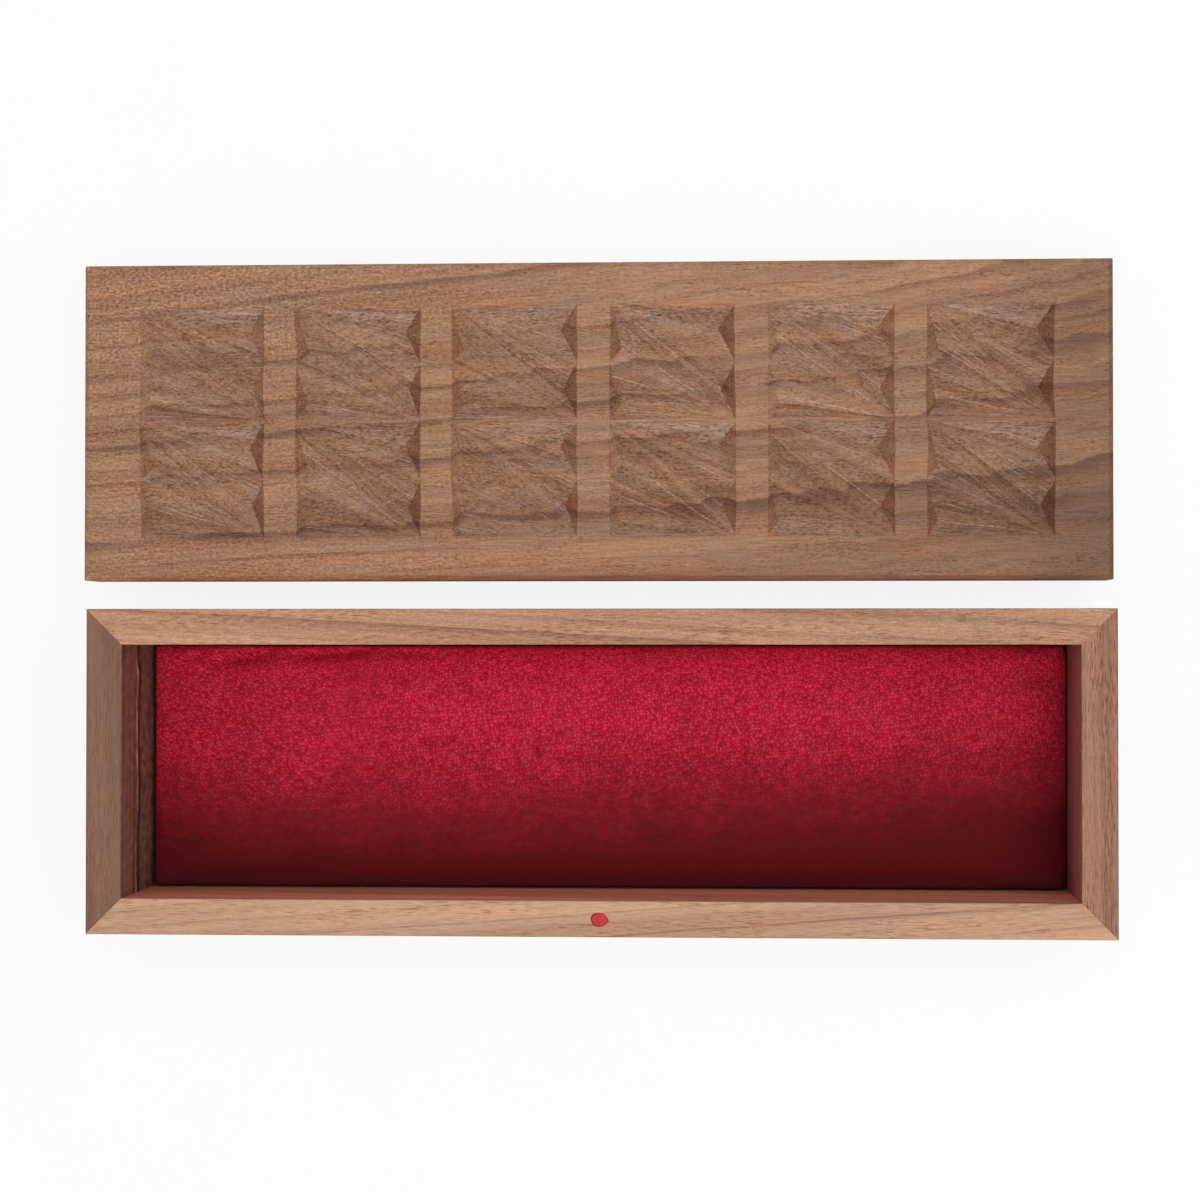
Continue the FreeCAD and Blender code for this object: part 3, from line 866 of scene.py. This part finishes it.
# %% Geometry Nodes: set out the squares, weld, let the hand wander
FIELD_SPARE = 0.05 * MM
FIELD_REACH = 0.05
GRID_WELD = 0.02 * MM
WANDER_SCALE = 75.0
half_x = (COLUMN_PITCH * (COLUMNS - 1) + CELL_LENGTH) / 2.0 + FIELD_SPARE
half_y = (ROW_PITCH * (ROWS - 1) + CELL_WIDTH) / 2.0 + FIELD_SPARE
carve = bpy.data.node_groups.new("carve_squares", "GeometryNodeTree")
carve.interface.new_socket("Blank", in_out="INPUT", socket_type="NodeSocketGeometry")
GRID_INPUTS = [
    ("Square", "Object", carved_square), ("Columns", "Int", COLUMNS), ("Rows", "Int", ROWS),
    ("Column Pitch", "Float", COLUMN_PITCH), ("Row Pitch", "Float", ROW_PITCH),
    ("Middle of Face", "Vector", (lid_centre.x, lid_centre.y, lid_high.z)),
    ("Half Field", "Vector", (half_x, half_y, FIELD_REACH)),
    ("Wander", "Float", 1.5 * MM), ("Seed", "Float", 4.0), ("Finish", "Material", lid_wood),
]
identifiers = {}
for title, kind, _ in GRID_INPUTS:
    socket = carve.interface.new_socket(title, in_out="INPUT", socket_type="NodeSocket" + kind)
    identifiers[title] = socket.identifier
carve.interface.new_socket("Carved Board", in_out="OUTPUT", socket_type="NodeSocketGeometry")
entry = carve.nodes.new("NodeGroupInput")
given = {out.name: Socket(carve, out) for out in entry.outputs if out.name}
blank = given["Blank"]


def geo(kind, sockets=None, output=0):
    return blank.node("GeometryNode" + kind, sockets, output)


grid_x = given["Column Pitch"] * (given["Columns"] - 1.0)
grid_y = given["Row Pitch"] * (given["Rows"] - 1.0)
grid = geo("MeshGrid", {
    "Size X": grid_x, "Size Y": grid_y, "Vertices X": given["Columns"], "Vertices Y": given["Rows"]})
grid = geo("Transform", {"Geometry": grid, "Translation": given["Middle of Face"]})
one_square = geo("ObjectInfo", {"Object": given["Square"]}, "Geometry")
squares = geo("InstanceOnPoints", {"Points": grid, "Instance": one_square})
whole = geo("JoinGeometry", {"Geometry": [blank, squares]})
whole = geo("RealizeInstances", {"Geometry": whole})
whole = geo("MergeByDistance", {"Geometry": whole, "Distance": GRID_WELD})
position = geo("InputPosition")
local = position.vector("SUBTRACT", position, given["Middle of Face"])
reach = local.vector("ABSOLUTE", local)
spare_x, spare_y, _ = local.vector("SUBTRACT", given["Half Field"], reach).parts()
in_field = spare_x.math("GREATER_THAN", spare_x, 0.0) * spare_y.math("GREATER_THAN", spare_y, 0.0)
depth = local.parts()[2] * (-1.0 / PIT_DEPTH)
noise_sockets = {"Vector": position, "W": given["Seed"], "Scale": WANDER_SCALE, "Detail": 1.0}
drift = blank.node("TexNoise", noise_sockets, "Color", noise_dimensions="4D")
drift = drift.vector("SUBTRACT", drift, (0.5, 0.5, 0.5))
drift = drift.scaled(given["Wander"])
limits = blank.node("CombineXYZ", {0: in_field, 1: in_field, 2: in_field * depth})
drift = drift.vector("MULTIPLY", drift, limits)
whole = geo("SetPosition", {"Geometry": whole, "Offset": drift})
whole = geo("SetMaterial", {"Geometry": whole, "Material": given["Finish"]})
blank.node("NodeGroupOutput", {"Carved Board": whole})
worker = lid_blank.modifiers.new("carve_squares", "NODES")
worker.node_group = carve
for title, _, value in GRID_INPUTS:
    worker[identifiers[title]] = value
lid_mesh = evaluated_mesh(lid_blank)
bpy.data.objects.remove(lid_blank)
bpy.data.objects.remove(carved_square)
lid_mesh.name = "carved_lid"
link_piece("carved_lid", lid_mesh, lid_wood, "lid_walnut", "lid", "lid_board")
print("carved lid:", len(lid_mesh.polygons), "triangles")

# %% [markdown]
# ## The velvet pad
# The pad is velvet over foam on a card, and swells between its glued edges. So its shape comes from a cloth
# simulation: a thin block is remeshed, its underside is held, and air pressure lifts the rest. The result
# is kept to the room that the tray leaves.

# %% Swell the pad
VOXEL = 2.4 * MM
EDGE_HEIGHT = 9.0 * MM
EDGE_ROUND = 1.2 * MM
GLUED_TO = 0.62
PRESSURE = 4.0
SWELL_FRAMES = 20
pad_low, pad_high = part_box("velvet_cover")
start_high = Vector((pad_high.x, pad_high.y, pad_low.z + EDGE_HEIGHT))
block = cuboid(start_high - pad_low, (pad_low + start_high) / 2.0)
ease(block, [e for e in block.edges if max(v.co.z for v in e.verts) > pad_low.z + MM], EDGE_ROUND, steps=3)
pad_maker = add_object("pad_maker", mesh_from(block, "pad_block"))
remesh = pad_maker.modifiers.new("remesh", "REMESH")
remesh.mode = "VOXEL"
remesh.voxel_size = VOXEL
pad_mesh = evaluated_mesh(pad_maker)
pad_maker.modifiers.clear()
pad_maker.data = pad_mesh
rest = [v.co.copy() for v in pad_mesh.vertices]
held = pad_maker.vertex_groups.new(name="glued")
held.add([i for i, p in enumerate(rest) if p.z < pad_low.z + EDGE_HEIGHT * GLUED_TO], 1.0, "REPLACE")
print("cloth of", len(rest), "points")
cloth = pad_maker.modifiers.new("cloth", "CLOTH")
cloth.settings.vertex_group_mass = "glued"
cloth.settings.use_pressure = True
cloth.settings.uniform_pressure_force = PRESSURE
cloth.settings.effector_weights.gravity = 0.0
cloth.point_cache.frame_start = 1
cloth.point_cache.frame_end = SWELL_FRAMES
for number in range(1, SWELL_FRAMES + 1):
    scene.frame_set(number)
swollen = evaluated_mesh(pad_maker)
pad_maker.modifiers.clear()
moved = [(swollen.vertices[i].co - p).length for i, p in enumerate(rest)]
print("pressure moved the velvet by up to", round(max(moved) / MM, 2), "mm")
pad_maker.data = swollen
scene.frame_set(1)

# %% [markdown]
# Two rounds of subdivision make the cloth smooth. Near the back left corner the velvet was pulled too far
# under the card, and shallow tucks run out from there. They are smaller than the cloth's mesh, so they are
# pressed in afterwards. The underside is flat, with a hem of velvet round the bare card.

# %% Finish the pad's shape
HEM = 10.0 * MM
HEM_DEPTH = 0.8 * MM
BACK_SWELL = 0.4 * MM
LEFT_GAP = 0.5 * MM
RIGHT_SWELL = 0.35 * MM
OVERFILL = (1.011, 1.03, 1.0)
TUCK_FLOOR = 3.0 * MM
# Each tuck: start and end in millimetres, depth, width.
TUCKS = [
    ((-79.5, 21.4), (-68.0, 22.8), 2.0, 1.4), ((-63.4, 22.4), (-48.0, 23.6), 1.8, 1.0),
    ((-87.0, 21.6), (-82.0, 22.6), 0.8, 0.9), ((-45.0, 23.4), (-34.0, 22.8), 0.7, 1.0),
]


def keep_inside(mesh, low, high):
    """Presses a slightly larger cushion into a box, which squares its sides and corners."""
    for vertex in mesh.vertices:
        for axis in range(3):
            vertex.co[axis] = max(low[axis], min(high[axis], vertex.co[axis] * OVERFILL[axis]))


def press_tucks(mesh):
    """Each tuck is a soft groove, deepest at its middle."""
    for vertex in mesh.vertices:
        if vertex.co.z < pad_low.z + TUCK_FLOOR:
            continue
        place = Vector((vertex.co.x, vertex.co.y)) / MM
        for start, end, press, width in TUCKS:
            line, off = Vector(end) - Vector(start), place - Vector(start)
            along = max(0.0, min(1.0, off.dot(line) / line.length_squared))
            away = (off - line * along).length
            swell = math.sin(math.pi * (0.15 + 0.7 * along))
            vertex.co.z -= press * MM * math.exp(-((away / width) ** 2)) * swell


def sink_card(mesh):
    """Lifts the middle of the underside, where no velvet is turned under."""
    work = bmesh.new()
    work.from_mesh(mesh)
    work.normal_update()
    half = Vector((pad_high.x - HEM, pad_high.y - HEM))
    middle = [
        f for f in work.faces
        if f.normal.z < -0.9 and f.calc_center_median().z < pad_low.z + MM
        and abs(f.calc_center_median().x) < half.x and abs(f.calc_center_median().y) < half.y
    ]
    lifted = bmesh.ops.extrude_face_region(work, geom=middle)["geom"]
    points_up = [g for g in lifted if isinstance(g, bmesh.types.BMVert)]
    bmesh.ops.translate(work, vec=(0.0, 0.0, HEM_DEPTH), verts=points_up)
    bmesh.ops.delete(work, geom=middle, context="FACES")
    work.to_mesh(mesh)
    work.free()


smooth = pad_maker.modifiers.new("smooth", "SUBSURF")
smooth.levels = 2
smooth.render_levels = 2
cushion_mesh = evaluated_mesh(pad_maker)
bpy.data.objects.remove(pad_maker)
cover_low = pad_low + Vector((LEFT_GAP, 0.0, 0.0))
cover_high = pad_high + Vector((RIGHT_SWELL, BACK_SWELL, 0.0))
keep_inside(cushion_mesh, cover_low, cover_high)
press_tucks(cushion_mesh)
sink_card(cushion_mesh)
cushion_mesh.shade_smooth()
top = max(v.co.z for v in cushion_mesh.vertices)
print("pad:", len(cushion_mesh.polygons), "faces, top at", round(top / MM, 2), "mm")

# %% [markdown]
# ## Velvet
# Velvet is a short pile on a knitted ground, and its loops stand in ribs. They slant at the left of this
# pad and run nearly straight over the rest. A Voronoi lattice, stretched to the ribs, gives each loop a
# place and a chance of a glint, a highlight painted into the colour.

# %% Velvet: ribs of loops
RIB_PITCH, LOOP_LENGTH = 0.64, 0.74
LEFT_SLANT, RIGHT_SLANT = 0.8, 0.12
ROW_SLOPE = 0.1
WOBBLE = 1.6
velvet, here = new_finish("crimson_velvet")
point = here.scaled(PER_METRE)
pad_x, pad_y, pad_z = point.parts()
drop = pad_high.z / MM - pad_z
rib_x = pad_x + drop * pad_x.ramp(-20.0, 20.0, -1.0, 1.0) + point.swing(0.14, 2.0) * WOBBLE
rib_y = pad_y + drop * pad_y.ramp(-5.0, 5.0, -1.0, 1.0)


def pile_loops(slant):
    """Loops in slanting ribs: how near the middle of a loop is, and the loop's chance of a painted glint."""
    column = (rib_x + rib_y * slant) * (1.0 / (RIB_PITCH * math.hypot(1.0, slant)))
    row = (rib_y - pad_x * ROW_SLOPE) * (1.0 / LOOP_LENGTH)
    lattice = here.node("CombineXYZ", {0: column, 1: row})
    sockets = {"Vector": lattice, "Scale": 1.0, "Randomness": 0.7}
    near = here.node("TexVoronoi", sockets, "Distance", voronoi_dimensions="2D")
    luck = here.node("TexVoronoi", sockets, "Color", voronoi_dimensions="2D")
    return near.ramp(0.05, 0.55, 1.0, 0.0), luck.ramp(0.2, 0.85)


left_loop, left_chance = pile_loops(LEFT_SLANT)
right_loop, right_chance = pile_loops(RIGHT_SLANT)
to_right = pad_x.ramp(-62.0, -40.0)
loop = left_loop + (right_loop - left_loop) * to_right
chance = left_chance + (right_chance - left_chance) * to_right
print("loops of", RIB_PITCH, "x", LOOP_LENGTH, "mm")

# %% [markdown]
# Where pile leans away from the eye it looks dark. Here the front third of the pad is painted shade, almost
# black red, and the glints of the loops fade in it. This painted shade is laid on the pad's own coordinates.
# A little sheen lightens the rounded edges.

# %% Velvet: painted shade, wear and colour
PLAIN = 0.27
PILE_DEPTH = 0.15 * MM
patchy = point.swing((0.09, 0.12, 0.1), 3.0)
brushed = point.noise((0.5, 0.9, 0.5), 3.0)
rubbed = point.swing((0.22, 0.4, 0.3), 2.0)
# Painted shade: by position, the front third of the pad is mixed towards the shadowed crimson.
lean_painted_light = pad_y - pad_x * 0.045 + patchy * 6.5 + (brushed - 0.5) * 8.0
painted_nap_light = (lean_painted_light - pad_x.ramp(-55.0, -85.0, 0.0, 3.0)).ramp(-18.4, 10.6)
rough_pile = painted_nap_light.ramp(0.0, 0.6, 0.4, 1.0)
fuzz = point.swing(3.0) * 0.6 + point.swing(1.3) * 0.5
# Painted highlight: the pattern of the loops, with glints painted into the colour.
loops_and_painted_glint = 0.05 + loop ** 1.5 * (0.28 + chance * 0.34) + chance * 0.12 + fuzz
# The painted glints fade where the shade is painted.
loops_and_painted_glint = PLAIN + (loops_and_painted_glint - PLAIN) * painted_nap_light.ramp(0.0, 0.7, 0.25, 1.0)
crimson = here.mix(loops_and_painted_glint, rgb(166, 5, 33), rgb(238, 70, 98))
# The shadowed crimson is the colour of the painted shade.
shadowed = here.mix(loops_and_painted_glint, rgb(92, 6, 13), rgb(97, 10, 18))
worn = patchy * 0.35 + (brushed - 0.5) * 0.6 + rubbed * 0.3
# Painted light: a lighter strip along the back edge of the pad. Towards its ends the pad is darker.
shade = 1.005 + worn * rough_pile + pad_y.ramp(16.5, 21.5, 0.0, 0.3)
shade = shade * abs(pad_x).ramp(25.0, 92.0, 1.0, 0.85)
pile = here.mix(1.0, here.mix(painted_nap_light, shadowed, crimson), shade, "MULTIPLY")
# Painted sheen: a dark grey haze along the front edge of the pad.
pile = here.mix(pad_y.ramp(-20.5, -23.0, 0.0, 0.45), pile, rgb(66, 28, 30))
height = (loop * 0.4 + brushed * 0.3) * rough_pile
sheen = {"Sheen Weight": 0.16, "Sheen Roughness": 0.4, "Sheen Tint": rgb(255, 84, 108)}
close_finish(here, pile, 0.85 - loops_and_painted_glint * 0.15, height, PILE_DEPTH, **sheen, **{"Specular IOR Level": 0.15})
cushion = link_piece("velvet_cushion", cushion_mesh, velvet, "velvet", "pad", "velvet_cover", "pad_foam")
print("velvet:", velvet.name)

# %% [markdown]
# ## Card under the pad
# The card is only seen when the pad is lifted out. It is pressed from paper fibres, so it is a warm grey
# with fine specks, and it lies inside the velvet hem.

# %% Card
CARD_UNDER_HEM = 2.0 * MM
CARD_THICKNESS = 0.5 * MM
CARD_RISE, CARD_EASE, SPECK_DEPTH = (0.1 * MM,) * 3
grey_card, here = new_finish("grey_card")
point = here.scaled(PER_METRE)
speck = point.noise(1.6, 3.0)
flake = point.noise((0.5, 0.9, 0.9)).ramp(0.62, 0.75)
pulp = here.mix(speck, rgb(150, 144, 132), rgb(182, 174, 160))
pulp = here.mix(flake * 0.5, pulp, rgb(112, 104, 94))
close_finish(here, pulp, 0.9 - speck * 0.08, speck, SPECK_DEPTH)
card_half = [half - HEM + CARD_UNDER_HEM for half in (pad_high.x, pad_high.y)]
card_size = Vector((2.0 * card_half[0], 2.0 * card_half[1], CARD_THICKNESS))
card_work = cuboid(card_size, (0.0, 0.0, pad_low.z + HEM_DEPTH + CARD_RISE))
ease(card_work, card_work.edges, CARD_EASE)
card_mesh = mesh_from(card_work, "pad_card_plate")
link_piece("pad_card_plate", card_mesh, grey_card, "card", "pad", "pad_card")
print("card:", [round(c / MM, 1) for c in card_size], "mm")

# %% [markdown]
# ## Paint dots
# A dab of red paint on the front rim shows which way round the lid goes, and a second one under the lid
# answers it. A brush leaves no true disc: there is a flat side, a point where it left, and a raised edge
# where the paint dried. So each dab is a low dome on an uneven outline.

# %% Paint dots
# The dab's outline: turn in degrees, reach in millimetres, and how dark the outline is there.
DAB = [
    (0, 1.7, 0.7), (27, 1.5, 0.35), (60, 1.49, 0.15), (85, 1.36, 0.3), (105, 1.38, 0.9), (141, 1.72, 0.95),
    (165, 1.79, 1.0), (187, 1.64, 0.5), (219, 1.59, 0.75), (250, 1.36, 0.6), (281, 1.31, 0.7),
    (313, 1.37, 0.6), (340, 1.55, 0.6), (355, 1.8, 1.0),
]
# The dome's rings from its foot: share of the reach, and height in millimetres.
DOME = [(1.0, -0.08), (1.0, 0.01), (0.93, 0.06), (0.75, 0.075), (0.4, 0.06)]
DAB_POINTS = 48
BRUSH_DEPTH = 0.06 * MM


def outline_at(turn):
    """The dab's reach and darkness at a turn, between the listed points."""
    stops = DAB + [(360,) + DAB[0][1:]]
    first, second = next(pair for pair in zip(stops, stops[1:]) if turn <= pair[1][0])
    part = (turn - first[0]) / (second[0] - first[0])
    return [a + (b - a) * part for a, b in zip(first[1:], second[1:])]


def dab_of_paint(name, centre, up):
    """A low dome of paint. Its points know how dark its outline is there."""
    work = bmesh.new()
    edge_layer = work.verts.layers.float.new("edge")
    rings = []
    for share_out, lift in DOME:
        ring = []
        for k in range(DAB_POINTS):
            degrees = k * 360.0 / DAB_POINTS
            turn = math.radians(degrees)
            reach, outline_darkness = outline_at(degrees)
            out = reach * share_out * MM
            offset = Vector((math.cos(turn) * out, math.sin(turn) * out, lift * MM * up))
            ring.append(work.verts.new(centre + offset))
            ring[-1][edge_layer] = outline_darkness if share_out > 0.9 else 0.0
        rings.append(ring)
    for low_ring, high_ring in zip(rings, rings[1:]):
        for k in range(DAB_POINTS):
            n = (k + 1) % DAB_POINTS
            work.faces.new([low_ring[k], low_ring[n], high_ring[n], high_ring[k]])
    work.faces.new(list(reversed(rings[0])))
    work.faces.new(rings[-1])
    bmesh.ops.recalc_face_normals(work, faces=work.faces)
    bmesh.ops.triangulate(work, faces=work.faces)
    mesh = mesh_from(work, name)
    mesh.shade_smooth()
    return mesh


paint, here = new_finish("red_paint")
point = here.scaled(PER_METRE)
brush = point.noise((1.1, 2.4, 1.0), 3.0)
thin = point.noise(0.7).ramp(0.45, 0.7)
red = here.mix(brush, rgb(182, 8, 22), rgb(206, 34, 42))
red = here.mix(thin * 0.3, red, rgb(158, 26, 32))
near_edge = here.node("Attribute", None, "Fac", attribute_name="edge")
# Darker towards the outline, by the listed darkness.
red = here.mix(near_edge.ramp(0.1, 0.95), red, rgb(96, 10, 8))
close_finish(here, red, 0.5 + brush * 0.2, brush, BRUSH_DEPTH)
rim_dab = dab_of_paint("rim_dab", Vector((0.6 * MM, -28.4 * MM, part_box("front_wall")[1].z)), 1.0)
link_piece("rim_paint_dot", rim_dab, paint, "red_paint", "tray", "alignment_dot")
under = sum(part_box("lid_dot"), Vector()) / 2.0
under.z = lid_low.z
under_dab = dab_of_paint("under_dab", under, -1.0)
link_piece("lid_paint_dot", under_dab, paint, "red_paint", "lid", "lid_dot")
print("two dabs of paint of", len(rim_dab.polygons), "triangles each")

# %% [markdown]
# ## Sizes
# The dressed case has to keep the CAD model's size, so both boxes are written down side by side.

# %% Sizes and finish
shown_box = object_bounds()
for name, box in (("CAD", cad_box), ("shown", shown_box)):
    print(name, "box", [[round(v / MM, 2) for v in c] for c in box])
